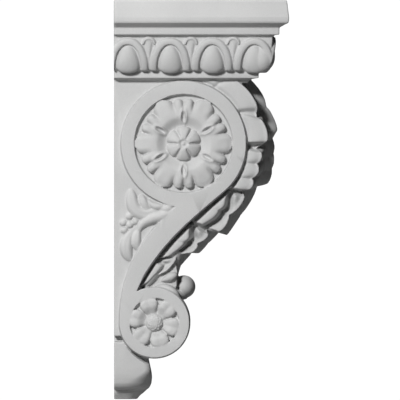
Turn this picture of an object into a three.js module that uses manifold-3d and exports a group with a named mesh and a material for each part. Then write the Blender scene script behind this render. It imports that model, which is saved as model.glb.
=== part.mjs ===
// A cast stone corbel: a scrolled bracket that is built into a wall and carries a shelf or a beam on its top.
// Millimetres, +Z up. The wall is the plane y = 0 and the corbel stands out from it towards -Y.
// The origin is on the back face, on its centre line, at half the height.
// Both flanks are alike, so each carving on them is made once for each side.
import * as THREE from 'three';
import { mergeVertices } from 'three/addons/utils/BufferGeometryUtils.js';
import Module from 'manifold-3d';

const wasm = await Module();
wasm.setup();

// Driving dimensions of the whole.
const height = 560;
const projection = 245;
const bodyWidth = 99;
const wallBite = 6; // every solid runs this far past the wall plane before the back is cut flat

// The cap, from the top down. Each overhang is measured out from the body's neck.
const abacusHeight = 33.3;
const abacusOverhang = 57;
const abacusDraft = 2.8; // how much less the abacus stands out at its top
const abacusChamfer = 2;
const soffitHeight = 5.2;
const upperFilletHeight = 10.2;
const upperFilletOverhang = 43.5;
const quirkHeight = 3.2; // the shadow line under the upper fillet
const ovoloHeight = 48;
const ovoloTopOverhang = 34;
const ovoloFootOverhang = 12;
const lowerFilletHeight = 9.5;
const lowerFilletOverhang = 14.6;
const coveHeight = 6.3;
const backChamfer = 3;

// The egg and dart enrichment.
const eggSpacing = 59;
const eggLength = 45.5;
const eggHalfWidth = 16.5;
const eggRise = 8;
const eggTaper = 0.17; // how much narrower its crown is drawn
const shellGap = 1.4; // between two shells
const shellBand = 5.2; // half the width of the band that frames an egg
const shellRise = 4.8;
const shellHeight = 56.3;
const dartHalfWidth = 6.5;
const dartRise = 2.6;
const cornerEggOverhang = 19.5; // the eggs of the flank and the front run together in one at each corner
const cornerEggUp = 29; // above the foot of the lower fillet
const cornerEggRadius = 18;
const cornerEggHalfHeight = 22;

// The scroll on each flank.
const scrollRelief = 8.5; // how far the scroll stands out from the flank
const bigRadius = 89;
const bigBackMargin = 8.6;
const bigRim = 19.6;
const bigRecess = 8;
const smallRadius = 50.4;
const smallBackMargin = 6.3;
const smallCentreHeight = 108;
const smallRim = 15.4;
const smallRecess = 7;
const stemLeaveAngle = -50; // where the outer edge of the stem leaves the big scroll, in degrees
const stemJoinAngle = 120.5; // where it meets the small scroll
const stemInnerAngle = -97; // where the inner edge of the stem leaves the big scroll

// The flank below and behind the scroll.
const panelFoot = 90;

// The drop under the small scroll.
const dropHeight = 82;
const dropProjection = 52.5;
const dropHalfWidth = 48.5;
const gapCentre = new THREE.Vector2(78.4, 117.7); // the round hollow between the small scroll and the drop
const gapRadius = 77.2;
const gapHalfWidth = 37; // its floor, from the centre line

// The acanthus leaf on the front.
const leafHalfWidth = 49.5;
const leafTopHalfWidth = 54; // on the big scroll
const keelHalf = 0.28; // the raised midrib, as a share of the front's half width
const keelFoot = 0.76; // the share of the leaf's height at which it starts
const leafStartAngle = 100;
const leafStep = 7; // run of the steep face at the end of a tier, along the front
const fingerGroove = 5;
const tierGroove = 10;
const foldDepth = 14; // of the fold that runs along the flank
const softFold = 0.25; // the first two tiers run together in a soft fold
const midribLift = 3;
const sweepBack = 20; // how far the grooves run up beside the midrib
// One tier of lobes a line, top to bottom: where it ends along the scroll's edge and along the front, as
// shares of the edge's length, how far it stands proud at its crest and at the foot of the step below the
// crest, how many fingers its lobe has on each flank, what share of the crest the flank takes, and how strong
// the fold is that runs along the flank.
const leafTiers = [
  { marginEnd: 0.26, frontEnd: 0.3, crest: 39.5, foot: 37, fingers: 2, cheek: 0.6, fold: 0 },
  { marginEnd: 0.376, frontEnd: 0.37, crest: 42.5, foot: 35, fingers: 1, cheek: 0.6, fold: 0 },
  { marginEnd: 0.54, frontEnd: 0.485, crest: 41, foot: 28.5, fingers: 3, cheek: 0.48, fold: 0 },
  { marginEnd: 0.708, frontEnd: 0.655, crest: 47, foot: 36.5, fingers: 2, cheek: 0.74, fold: 1 },
  { marginEnd: 0.884, frontEnd: 0.765, crest: 39, foot: 31.5, fingers: 2, cheek: 0.74, fold: 1 },
  { marginEnd: 1.0, frontEnd: 0.85, crest: 31, foot: 31, fingers: 1, cheek: 0.6, fold: 0.4 },
];
const leafTopProud = 33;
const curlRadius = 16;
const curlHalfWidth = 30;
const webHalfWidth = 38; // behind the curl

// The rosette in the big scroll and the flower in the small one.
const rosettePetals = 6;
const rosetteTip = 67.5; // big lobes
const rosetteShoulder = 62.5; // small lobes
const rosetteNotch = 54.5;
const bigLobeHalf = 15; // degrees
const budRadius = 24;
const budRise = 16;
const flowerPetals = 6;
const flowerTurn = 47; // degrees
const flowerTip = 35;
const flowerNotch = 20;
const flowerBoss = 11.6;

// Sizes that follow from the driving ones. Heights in this part of the file are above the foot of the corbel.
const halfBody = bodyWidth / 2;
const neckDepth = projection - abacusOverhang;
const abacusFoot = height - abacusHeight;
const soffitFoot = abacusFoot - soffitHeight;
const upperFilletFoot = soffitFoot - upperFilletHeight;
const ovoloTop = upperFilletFoot - quirkHeight;
const ovoloFoot = ovoloTop - ovoloHeight;
const lowerFilletFoot = ovoloFoot - lowerFilletHeight;
const coveFoot = lowerFilletFoot - coveHeight;
const scrollFace = halfBody + scrollRelief;
const bigCentre = new THREE.Vector2(bigBackMargin + bigRadius, lowerFilletFoot - 2.6 - bigRadius);
const smallCentre = new THREE.Vector2(smallBackMargin + smallRadius, smallCentreHeight);

const radians = (degrees) => (degrees * Math.PI) / 180;
const mix = (a, b, t) => a + (b - a) * t;
const smooth = (low, high, x) => THREE.MathUtils.smoothstep(x, low, high);

// A point of the flank's drawing: depth from the wall, height above the foot, and x across the corbel.
const place = (depth, up, x) => new THREE.Vector3(x, -depth, up);

// Solids from three.js geometry, and back.
function solidOf(geometry) {
  const bare = geometry.index ? geometry.clone() : geometry;
  for (const name of ['normal', 'uv']) bare.deleteAttribute(name);
  const merged = mergeVertices(bare, 1e-3);
  return solidOfArrays(merged.attributes.position.array, merged.index.array);
}

function solidOfArrays(positions, indices) {
  let volume = 0;
  const [a, b, c] = [new THREE.Vector3(), new THREE.Vector3(), new THREE.Vector3()];
  for (let i = 0; i < indices.length; i += 3) {
    a.fromArray(positions, indices[i] * 3);
    b.fromArray(positions, indices[i + 1] * 3);
    c.fromArray(positions, indices[i + 2] * 3);
    volume += a.dot(b.cross(c));
  }
  const triVerts = Uint32Array.from(indices);
  if (volume < 0) {
    for (let i = 0; i < triVerts.length; i += 3) {
      [triVerts[i + 1], triVerts[i + 2]] = [triVerts[i + 2], triVerts[i + 1]];
    }
  }
  const mesh = new wasm.Mesh({ numProp: 3, vertProperties: Float32Array.from(positions), triVerts });
  return new wasm.Manifold(mesh);
}

// A closed skin through rings of equal length, one ring a station, with a fan over each end. The first fan
// meets at the point given, or else at the middle of its ring.
function loft(rings, crown) {
  const around = rings[0].length;
  const positions = [];
  const indices = [];
  for (const ring of rings) for (const p of ring) positions.push(p.x, p.y, p.z);
  for (let i = 0; i + 1 < rings.length; i++) {
    for (let j = 0; j < around; j++) {
      const next = (j + 1) % around;
      const [a, b] = [i * around + j, i * around + next];
      indices.push(a, b, b + around, a, b + around, a + around);
    }
  }
  for (const [ring, first, turn] of [[rings[0], 0, 1], [rings.at(-1), (rings.length - 1) * around, 0]]) {
    const hub = positions.length / 3;
    const middle = ring.reduce((sum, p) => sum.add(p), new THREE.Vector3()).divideScalar(around);
    const centre = turn && crown ? crown : middle;
    positions.push(centre.x, centre.y, centre.z);
    for (let j = 0; j < around; j++) {
      const [a, b] = [first + j, first + ((j + 1) % around)];
      if (turn) indices.push(b, a, hub);
      else indices.push(a, b, hub);
    }
  }
  return solidOfArrays(positions, indices);
}

// A flank drawing pulled out to both sides of the centre line, to half its width each way.
function flankSolid(shape, halfWidth, curveSegments) {
  const geometry = new THREE.ExtrudeGeometry(shape, {
    depth: 2 * halfWidth,
    bevelEnabled: false,
    steps: 1,
    curveSegments,
  });
  geometry.translate(0, 0, -halfWidth);
  const across = new THREE.Vector3(0, -1, 0);
  const up = new THREE.Vector3(0, 0, 1);
  const out = new THREE.Vector3(-1, 0, 0);
  geometry.applyMatrix4(new THREE.Matrix4().makeBasis(across, up, out));
  return solidOf(geometry);
}

// A raised lobe on a surface. line gives the middle of the lobe in the surface's own two directions, half
// gives half its width and rise its height at each share of the line, and onSurface turns (a, b, lift) into a
// point.
function lobe(onSurface, line, half, rise, { stations = 6, spans = 4, sink = 3 } = {}) {
  const rings = [];
  for (let i = 0; i <= stations; i++) {
    const share = mix(0.03, 0.97, i / stations);
    const middle = line.getPoint(share);
    const along = line.getTangent(share);
    const ring = [];
    for (let j = 0; j <= spans; j++) {
      const turn = (Math.PI * j) / spans;
      const off = -Math.cos(turn) * half(share);
      ring.push(onSurface(middle.x - along.y * off, middle.y + along.x * off, Math.sin(turn) * rise(share)));
    }
    for (const off of [half(share), -half(share)]) {
      ring.push(onSurface(middle.x - along.y * off, middle.y + along.x * off, -sink));
    }
    rings.push(ring);
  }
  return loft(rings);
}

const oval = (share) => Math.sqrt(Math.max(0, 1 - (2 * share - 1) ** 2));
const path2 = (...points) => new THREE.SplineCurve(points.map(([a, b]) => new THREE.Vector2(a, b)));

// The cap: a stack of rectangles, mitred at both front corners, open to the wall behind.
function capRing(up, overhang) {
  const half = halfBody + overhang;
  const depth = neckDepth + overhang;
  const plan = [
    [-half + backChamfer, -wallBite], [-half + backChamfer, 0], [-half, backChamfer], [-half, depth],
    [half, depth], [half, backChamfer], [half - backChamfer, 0], [half - backChamfer, -wallBite],
  ];
  return plan.map(([x, d]) => place(d, up, x));
}

// The hollow curve of the ovolo's ground, from its foot to its top: x is the overhang, y the height.
const ovoloCurve = new THREE.EllipseCurve(
  ovoloFootOverhang, ovoloTop, ovoloTopOverhang - ovoloFootOverhang, ovoloHeight, -Math.PI / 2, 0,
);
const ovoloRun = ovoloCurve.getLength();

function makeCap() {
  const rings = [
    capRing(height, abacusOverhang - abacusDraft - abacusChamfer),
    capRing(height - abacusChamfer, abacusOverhang - abacusDraft),
    capRing(abacusFoot + 3 * abacusChamfer, abacusOverhang),
    capRing(abacusFoot + abacusChamfer / 2, abacusOverhang - abacusChamfer / 2),
    capRing(abacusFoot, abacusOverhang - 1.5 * abacusChamfer),
    capRing(soffitFoot + 1, upperFilletOverhang + 1.5),
    capRing(soffitFoot, upperFilletOverhang),
    capRing(upperFilletFoot, upperFilletOverhang),
    capRing(upperFilletFoot - 0.5, ovoloTopOverhang + 3),
    capRing(ovoloTop, ovoloTopOverhang),
  ];
  const ovoloSpans = 5;
  for (let i = ovoloSpans - 1; i >= 0; i--) {
    const p = ovoloCurve.getPoint(i / ovoloSpans);
    rings.push(capRing(p.y + (i ? 0 : 0.4), p.x));
  }
  rings.push(capRing(ovoloFoot, lowerFilletOverhang));
  rings.push(capRing(lowerFilletFoot, lowerFilletOverhang));
  const coveSpans = 3;
  for (let i = 1; i <= coveSpans; i++) {
    const turn = (Math.PI / 2) * (i / coveSpans);
    const up = lowerFilletFoot - coveHeight * (1 - Math.cos(turn)) - 0.3;
    rings.push(capRing(up, (lowerFilletOverhang - 1) * (1 - Math.sin(turn))));
  }
  return loft(rings);
}

// The ovolo's surface on one run: a along the run, b up the curve from its foot, both in millimetres.
function ovoloSurface(run) {
  return (a, b, lift) => {
    const share = THREE.MathUtils.clamp(b / ovoloRun, 0, 1);
    const beyond = b - share * ovoloRun;
    const p = ovoloCurve.getPointAt(share);
    const t = ovoloCurve.getTangentAt(share);
    const overhang = p.x + t.x * beyond + t.y * lift;
    const up = p.y + t.y * beyond - t.x * lift;
    if (run === 'front') return place(neckDepth + overhang, up, a);
    return place(a, up, (run === 'left' ? -1 : 1) * (halfBody + overhang));
  };
}

// Where the eggs stand: on the front either side of the centre, on the flanks back from the front corner.
function eggPlaces() {
  const cornerDepth = neckDepth + ovoloTopOverhang;
  const frontHalf = halfBody + ovoloTopOverhang;
  const places = [];
  const sideCount = Math.ceil((cornerDepth - eggHalfWidth) / eggSpacing - 0.25);
  const frontCount = Math.max(1, Math.round((2 * frontHalf) / eggSpacing));
  for (const run of ['left', 'right']) {
    for (let i = 0; i < sideCount; i++) {
      places.push({ run, at: cornerDepth + 4 - (i + 0.5) * eggSpacing, dart: i + 1 < sideCount ? -1 : 0 });
    }
  }
  for (let i = 0; i < frontCount; i++) {
    const at = (i - (frontCount - 1) / 2) * eggSpacing;
    places.push({ run: 'front', at, dart: i + 1 < frontCount ? 1 : 0 });
  }
  return places;
}

// An egg in its shell. Every ring goes round the egg's middle, from the crown outwards: over the egg, down
// to the gap, up on to the shell that frames it and down under the ground. The shell's legs run straight down
// and stop on the lower fillet, and the egg hangs a little over it.
function eggCell(onRun) {
  const middle = 0.31 * eggLength;
  const outer = eggSpacing / 2 - shellGap / 2;
  const inner = outer - 2 * shellBand;
  const crown = shellHeight - 2 * shellBand;
  const domeShare = 0.6;
  const eggFoot = 2.5;
  const eggHang = 2.2;
  const rings = [
    { half: domeShare * eggHalfWidth, top: mix(middle, eggLength, domeShare),
      foot: mix(middle, eggFoot, domeShare), lift: 0.82 * eggRise, taper: eggTaper, hang: eggHang },
    { half: eggHalfWidth, top: eggLength, foot: eggFoot, lift: 0.4, taper: eggTaper, hang: eggHang },
    { half: inner + 1.5, top: crown + 1.8, foot: -3, lift: shellRise, leg: 0.4 },
    { half: outer - 1.5, top: shellHeight - 1.5, foot: -4, lift: shellRise * 0.9, leg: 0.4 },
    { half: outer, top: shellHeight, foot: -5, lift: -2, leg: 0.4 },
  ];
  const sides = 12;
  const skin = rings.map(({ half, top, foot, lift, leg = 1, taper = 0, hang = -1 }) => Array.from(
    { length: sides },
    (_, i) => {
      const turn = (2 * Math.PI * i) / sides;
      const [c, s] = [Math.sin(turn), Math.cos(turn)];
      const a = half * Math.sign(c) * Math.abs(c) ** (s > 0 ? 0.9 : leg) * (1 - taper * Math.max(0, s));
      const point = onRun(a, middle + s * (s > 0 ? top - middle : middle - foot), lift);
      if (lift > 0) point.z = Math.max(point.z, ovoloFoot - hang);
      return point;
    },
  ));
  return loft(skin, onRun(0, middle, eggRise));
}

// Keeps a carving on its own side of the mitres at the two front corners.
function mitred(solid, run) {
  const reach = (halfBody - neckDepth) / Math.SQRT2;
  if (run === 'right') return solid.trimByPlane([Math.SQRT1_2, Math.SQRT1_2, 0], reach);
  if (run === 'left') return solid.trimByPlane([-Math.SQRT1_2, Math.SQRT1_2, 0], reach);
  return solid.trimByPlane([-Math.SQRT1_2, -Math.SQRT1_2, 0], -reach)
    .trimByPlane([Math.SQRT1_2, -Math.SQRT1_2, 0], -reach);
}

function eggAndDart() {
  const solids = [];
  for (const { run, at, dart } of eggPlaces()) {
    const surface = ovoloSurface(run);
    const onRun = (a, b, lift) => surface(at + a, b, lift);
    solids.push(mitred(eggCell(onRun), run));
    if (dart) {
      const dartLine = path2([dart * eggSpacing / 2, 8], [dart * eggSpacing / 2, shellHeight]);
      solids.push(lobe(onRun, dartLine, (s) => mix(1.2, dartHalfWidth, s * s), () => dartRise,
        { stations: 3, spans: 2 }));
    }
  }
  for (const side of [-1, 1]) {
    const egg = new THREE.SphereGeometry(1, 9, 6);
    egg.rotateX(Math.PI / 2);
    egg.scale(cornerEggRadius, cornerEggRadius, cornerEggHalfHeight);
    egg.translate(side * (halfBody + cornerEggOverhang), -(neckDepth + cornerEggOverhang),
      lowerFilletFoot + cornerEggUp);
    solids.push(solidOf(egg));
  }
  return solids;
}

// The drawing of the scroll. onCircle gives a point of a circle, and travelling clockwise is along() there.
const onCircle = (centre, radius, degrees) => new THREE.Vector2(
  centre.x + radius * Math.cos(radians(degrees)), centre.y + radius * Math.sin(radians(degrees)),
);
const along = (degrees) => new THREE.Vector2(Math.sin(radians(degrees)), -Math.cos(radians(degrees)));

// A smooth line from one point to another, leaving and arriving in the directions given.
function easeLine(from, leaving, to, arriving, startPull, endPull) {
  const reach = from.distanceTo(to);
  return new THREE.CubicBezierCurve(
    from,
    from.clone().addScaledVector(leaving, reach * startPull),
    to.clone().addScaledVector(arriving, -reach * endPull),
    to,
  );
}

const stemOuter = easeLine(
  onCircle(bigCentre, bigRadius, stemLeaveAngle), along(stemLeaveAngle),
  onCircle(smallCentre, smallRadius, stemJoinAngle), new THREE.Vector2(-0.449, -0.893), 0.376, 0.376,
);
const stemInner = easeLine(
  onCircle(bigCentre, bigRadius, stemInnerAngle), new THREE.Vector2(-0.8, -0.6),
  onCircle(smallCentre, smallRadius, 180), new THREE.Vector2(0, -1), 0.26, 0.45,
);

function arcPoints(centre, radius, fromDegrees, toDegrees, stepDegrees) {
  const count = Math.max(2, Math.ceil(Math.abs(toDegrees - fromDegrees) / stepDegrees));
  return Array.from({ length: count + 1 }, (_, i) => {
    return onCircle(centre, radius, mix(fromDegrees, toDegrees, i / count));
  });
}

function scrollShape() {
  const outline = [
    ...arcPoints(bigCentre, bigRadius, 90, stemLeaveAngle, 8),
    ...stemOuter.getPoints(8).slice(1),
    ...arcPoints(smallCentre, smallRadius, stemJoinAngle, -180, 12).slice(1),
    ...stemInner.getPoints(8).reverse().slice(1),
    ...arcPoints(bigCentre, bigRadius, stemInnerAngle, -270, 8).slice(1, -1),
  ];
  return new THREE.Shape(outline);
}

// The body behind the scroll. Its front edge runs inside the scroll and the leaf, so only its flank shows.
function panelShape() {
  const middle = (t) => stemOuter.getPoint(t).lerp(stemInner.getPoint(t), 0.5);
  return new THREE.Shape([
    new THREE.Vector2(-wallBite, panelFoot),
    new THREE.Vector2(smallCentre.x, panelFoot),
    smallCentre.clone(),
    middle(0.8), middle(0.5), middle(0.2),
    bigCentre.clone(),
    new THREE.Vector2(bigCentre.x + bigRadius * 0.35, bigCentre.y + bigRadius * 0.9),
    new THREE.Vector2(bigCentre.x + bigRadius * 0.35, ovoloFoot),
    new THREE.Vector2(-wallBite, ovoloFoot),
  ]);
}

// A round sinking in each face of the scroll.
function sinking(centre, radius, depth, sides) {
  const disc = new THREE.Shape(arcPoints(centre, radius, 0, 360 - 360 / sides, 360 / sides));
  const whole = flankSolid(disc, scrollFace + 10, 1);
  const kept = flankSolid(disc, scrollFace - depth, 1);
  return whole.subtract(kept);
}

// A carving seen from above as spokes: outline and lift are given by angle, in degrees, and share of the
// radius.
function roundCarving(side, centre, floor, angles, shares, outline, lift) {
  const rings = [];
  const stations = [...shares.map((share) => ({ share, wall: false })), { share: 1, wall: true }];
  for (const { share, wall } of stations) {
    rings.push(angles.map((angle) => {
      const radius = outline(angle) * Math.max(share, 0.02);
      const at = onCircle(centre, radius, angle);
      return place(at.x, at.y, side * (floor + (wall ? -3 : lift(angle, share, radius))));
    }));
  }
  return loft(rings);
}

const spokes = (count, offsets, turn) => Array.from({ length: count }, (_, k) => offsets.map(
  (offset) => turn + (360 / count) * k + offset,
)).flat();

// How far an angle lies from the middle of the nearest petal, in degrees.
function fromPetal(angle, count, turn) {
  const pitch = 360 / count;
  const raw = (((angle - turn) % pitch) + pitch) % pitch;
  return Math.min(raw, pitch - raw);
}

const petalHalf = 180 / rosettePetals;
const smallLobeMiddle = (bigLobeHalf + petalHalf) / 2;
const smallLobeHalf = (petalHalf - bigLobeHalf) / 2;

function rosetteOutline(angle) {
  const off = fromPetal(angle, rosettePetals, 0);
  if (off < bigLobeHalf) {
    return rosetteNotch + (rosetteTip - rosetteNotch) * Math.sqrt(1 - (off / bigLobeHalf) ** 2);
  }
  const across = Math.min(1, Math.abs(off - smallLobeMiddle) / smallLobeHalf);
  return rosetteNotch + (rosetteShoulder - rosetteNotch) * Math.sqrt(1 - across ** 2);
}

function rosetteLift(angle, share, radius) {
  const off = fromPetal(angle, rosettePetals, 0);
  const across = off < bigLobeHalf ? off / bigLobeHalf : Math.abs(off - smallLobeMiddle) / smallLobeHalf;
  const cup = 3 + 8.2 * smooth(budRadius, 42, radius) - 3 * smooth(52, rosetteTip, radius);
  const groove = 4.4 * smooth(44, rosetteNotch + 2, radius) * Math.min(1, across) ** 3;
  return cup - groove;
}

function rosette(side) {
  const offsets = [-petalHalf, -smallLobeMiddle, -bigLobeHalf, -bigLobeHalf / 2, bigLobeHalf / 2, bigLobeHalf,
    smallLobeMiddle];
  const petals = roundCarving(side, bigCentre, scrollFace - bigRecess, spokes(rosettePetals, offsets, 0),
    [0.3, 0.54, 0.8, 1], rosetteOutline, rosetteLift);
  const budTurn = petalHalf;
  const fold = (angle) => (fromPetal(angle, rosettePetals, budTurn) / petalHalf) ** 3;
  const budOutline = (angle) => budRadius * (1 - 0.09 * fold(angle));
  const budLift = (angle, share) => budRise * Math.sqrt(1 - 0.8 * share ** 2)
    - 4 * fold(angle) * smooth(0, 0.5, share) - 3 * (1 - smooth(0, 0.2, share));
  const bud = roundCarving(side, bigCentre, scrollFace - bigRecess,
    spokes(rosettePetals, [-30, -18, 0, 18], budTurn), [0, 0.25, 0.7, 1], budOutline, budLift);
  return [petals, bud];
}

function flower(side) {
  const half = 180 / flowerPetals;
  const outline = (angle) => {
    const across = fromPetal(angle, flowerPetals, flowerTurn) / half;
    return flowerNotch + (flowerTip - flowerNotch) * Math.sqrt(1 - across ** 2.6);
  };
  const lift = (angle, share, radius) => {
    const across = fromPetal(angle, flowerPetals, flowerTurn) / half;
    return 3.5 + 4.8 * smooth(flowerBoss, 24, radius) - 3 * across ** 3 * smooth(8, 20, radius);
  };
  const petals = roundCarving(side, smallCentre, scrollFace - smallRecess,
    spokes(flowerPetals, [-30, -24, -12, 0, 12, 24], flowerTurn), [0.25, 0.65, 1], outline, lift);
  const boss = roundCarving(side, smallCentre, scrollFace - smallRecess, spokes(10, [0], 0), [0, 0.5, 1],
    () => flowerBoss, (angle, share) => 10 * Math.sqrt(1 - 0.75 * share ** 2));
  return [petals, boss];
}

// How far a leaf has swelled at a share of its length, when it is widest at another.
const swell = (share, widest) => Math.sin(Math.PI * share ** (Math.log(0.5) / Math.log(widest))) ** 0.6;

// The husk with its berries on each flank. Each leaf of it is a line of points, depth from the wall and
// height above the foot, with half its width at the widest, how far it rises and how far along its widest
// part is.
function husk(side) {
  const onFlank = (a, b, lift) => place(a, b, side * (halfBody + lift));
  const leaves = [
    { line: path2([23, 296], [24.7, 285], [26, 275], [31, 265], [42, 260], [53, 262], [68, 269]),
      half: 8.6, rise: 7, widest: 0.42 },
    { line: path2([38, 288], [41, 278], [45, 270], [52, 265]), half: 5.8, rise: 6, widest: 0.45 },
    { line: path2([46, 282], [53, 274], [62, 271], [74, 272]), half: 5.2, rise: 7.5, widest: 0.6 },
    { line: path2([58, 266], [72, 268], [86, 269]), half: 7.2, rise: 8.8, widest: 0.62 },
    { line: path2([86, 268], [76, 262], [66, 257], [54, 254], [43, 249], [36, 241], [33, 230]),
      half: 7.6, rise: 9.4, widest: 0.38 },
    { line: path2([37, 243], [32, 231], [31, 221], [33, 209]), half: 6.4, rise: 7, widest: 0.6 },
    { line: path2([30, 242], [20, 228], [17, 216], [18, 206], [23, 194]), half: 8.4, rise: 7, widest: 0.62 },
  ];
  const solids = leaves.map(({ line, half, rise, widest }) => lobe(onFlank, line,
    (s) => 0.5 + half * swell(s, widest), (s) => 0.3 + rise * swell(s, widest),
    { stations: line.points.length - 1, spans: 3 }));
  const berryRadius = 4.7;
  const berries = [[21.5, 257], [13, 248], [30, 250], [22, 245], [14.5, 237.5]];
  for (const [depth, up] of berries) {
    solids.push(lobe(onFlank, path2([depth, up - berryRadius], [depth, up + berryRadius]),
      (s) => 0.3 + berryRadius * oval(s), (s) => 0.3 + berryRadius * oval(s), { stations: 3, spans: 2 }));
  }
  return solids;
}

// The edge that the leaf springs from: over the big scroll and down the outer edge of the stem.
const leafEdge = new THREE.CurvePath();
leafEdge.add(new THREE.EllipseCurve(bigCentre.x, bigCentre.y, bigRadius, bigRadius,
  radians(leafStartAngle), radians(stemLeaveAngle), true));
leafEdge.add(stemOuter);
leafEdge.arcLengthDivisions = 400;
const leafRun = leafEdge.getLength();

function edgeAt(share) {
  const s = THREE.MathUtils.clamp(share, 0.002, 0.998);
  const point = leafEdge.getPoint(s);
  const way = leafEdge.getPoint(s + 0.002).sub(leafEdge.getPoint(s - 0.002)).normalize();
  return { point, out: new THREE.Vector2(-way.y, way.x) };
}

// The rows of the leaf: each runs from one margin, over the front, to the other.
function leafRows() {
  const rows = [];
  let [margin, front, proud] = [0.02, 0.03, leafTopProud];
  leafTiers.forEach((tier, k) => {
    const step = k ? leafStep / leafRun : 0;
    for (let i = 0; i <= 3 * tier.fingers; i++) {
      const t = i / (3 * tier.fingers);
      const end = smooth(0.85, 1, t) * (k === 0 ? softFold : 1);
      const start = (1 - smooth(0, 0.2, t)) * (k === 1 ? softFold : 1);
      rows.push({
        ending: Math.max(start, end),
        bulge: Math.abs(Math.sin(Math.PI * tier.fingers * t)),
        margin: mix(margin, tier.marginEnd, mix(0.03, 1, t)),
        front: mix(front + step, tier.frontEnd, t),
        proud: mix(proud, tier.crest, t),
        cheekShare: tier.cheek,
        fold: tier.fold,
      });
    }
    [margin, front, proud] = [tier.marginEnd, tier.frontEnd, tier.foot];
  });
  return rows;
}

// v runs from 0 at the midrib to 1 at the margin. A row's section is a flat cheek on each flank, scalloped by
// the fingers, and a gabled front between the cheeks with a raised midrib down it.
const cornerTurn = 0.42;
const foldAt = 0.62;

function leafSection(v, row, low) {
  const cheekRise = row.cheekShare + 0.12 * row.bulge ** 0.6;
  if (v < cornerTurn) {
    const front = v / cornerTurn;
    return {
      across: 0.96 * front * (1 - 0.14 * row.fold),
      rise: front < keelHalf ? 1 - (1 - keelFoot) * (front / keelHalf) ** 1.2
        : mix(keelFoot, cheekRise, ((front - keelHalf) / (1 - keelHalf)) ** 1.2),
      nx: 0.35 * Math.min(1, v / 0.1),
      nn: 0.93,
    };
  }
  const cheek = (v - cornerTurn) / (1 - cornerTurn);
  return {
    across: (0.96 + 0.04 * Math.sin(Math.PI * cheek) - mix(0.05, 0.26, low) * smooth(0.76, 1, cheek))
      * (1 - 0.14 * row.fold * (1 - smooth(0.1, 0.55, cheek))),
    rise: cheekRise * (1 - cheek),
    nx: 1,
    nn: 0.12,
  };
}

function leafPoint(row, v, side) {
  const low = smooth(0.38, 0.6, row.margin);
  const { across, rise, nx, nn } = leafSection(v, row, low);
  const back = (sweepBack / leafRun) * Math.max(0, 1 - v / cornerTurn) ** 1.5 * (1 - row.margin);
  const edge = edgeAt(mix(row.margin, row.front, rise) - back);
  const flank = smooth(0.15, 0.5, v);
  let relief = -fingerGroove * (1 - row.bulge) * mix(0.35, 1, flank) * (1 - 0.6 * row.fold);
  relief -= tierGroove * row.ending * flank;
  relief -= foldDepth * row.fold * Math.exp(-(((v - foldAt) / 0.1) ** 2)) * (1 - row.ending);
  relief += 1.6 * Math.exp(-(((v - cornerTurn) / 0.06) ** 2));
  relief += midribLift * Math.exp(-((v / 0.06) ** 2))
    - 3 * Math.exp(-(((v - 0.12) / 0.03) ** 2));
  const proud = row.proud * rise + relief * nn;
  const x = mix(leafTopHalfWidth, leafHalfWidth, low) * across + relief * nx;
  return place(edge.point.x + edge.out.x * proud, edge.point.y + edge.out.y * proud, side * x);
}

function makeLeaf() {
  const columns = [1, 0.86, foldAt, cornerTurn, 0.28, 0.12];
  const rootDepth = 12;
  const rings = leafRows().map((row) => {
    const root = edgeAt(row.margin);
    const under = root.point.clone().addScaledVector(root.out, -rootDepth);
    return [
      ...columns.map((v) => leafPoint(row, v, -1)),
      leafPoint(row, 0, 1),
      ...columns.toReversed().map((v) => leafPoint(row, v, 1)),
      place(under.x, under.y, leafHalfWidth * 0.8),
      place(under.x, under.y, -leafHalfWidth * 0.8),
    ];
  });
  return loft(rings);
}

// The tip of the leaf: a tongue that runs down behind the last tier and rolls over into a curl.
function makeTip() {
  const seat = onCircle(smallCentre, smallRadius, 50);
  const roll = new THREE.Vector2(seat.x + 9, seat.y + 11);
  const top = edgeAt(leafTiers.at(-1).frontEnd - 0.04);
  const start = top.point.clone().addScaledVector(top.out, 12);
  const tongue = new THREE.SplineCurve([
    start, new THREE.Vector2(roll.x - 24, roll.y + 18), new THREE.Vector2(roll.x - 20, roll.y - 2),
  ]);
  const around = 10;
  const rings = [];
  const tongueStations = 3;
  for (let i = 0; i <= tongueStations; i++) {
    const at = tongue.getPoint(i / tongueStations);
    const way = tongue.getTangent(i / tongueStations);
    const half = mix(leafHalfWidth * 0.86, curlHalfWidth, i / tongueStations);
    rings.push(Array.from({ length: around }, (_, j) => {
      const turn = (2 * Math.PI * j) / around;
      const [c, s] = [Math.cos(turn), Math.sin(turn)];
      const x = half * Math.sign(c) * Math.abs(c) ** 0.6;
      const off = curlRadius * Math.sign(s) * Math.abs(s) ** 0.8;
      return place(at.x - way.y * off, at.y + way.x * off, x);
    }));
  }
  const ball = new THREE.SphereGeometry(1, 14, 8);
  ball.rotateZ(Math.PI / 2);
  ball.scale(curlHalfWidth, curlRadius, curlRadius);
  ball.translate(0, -roll.x, roll.y);
  const heel = new THREE.SphereGeometry(1, 10, 6);
  heel.rotateZ(Math.PI / 2);
  heel.scale(curlHalfWidth + 4, 22, 7);
  heel.rotateX(radians(35));
  heel.translate(0, -(roll.x - 14), roll.y - 4);
  return [loft(rings), solidOf(ball), solidOf(heel)];
}

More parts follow.
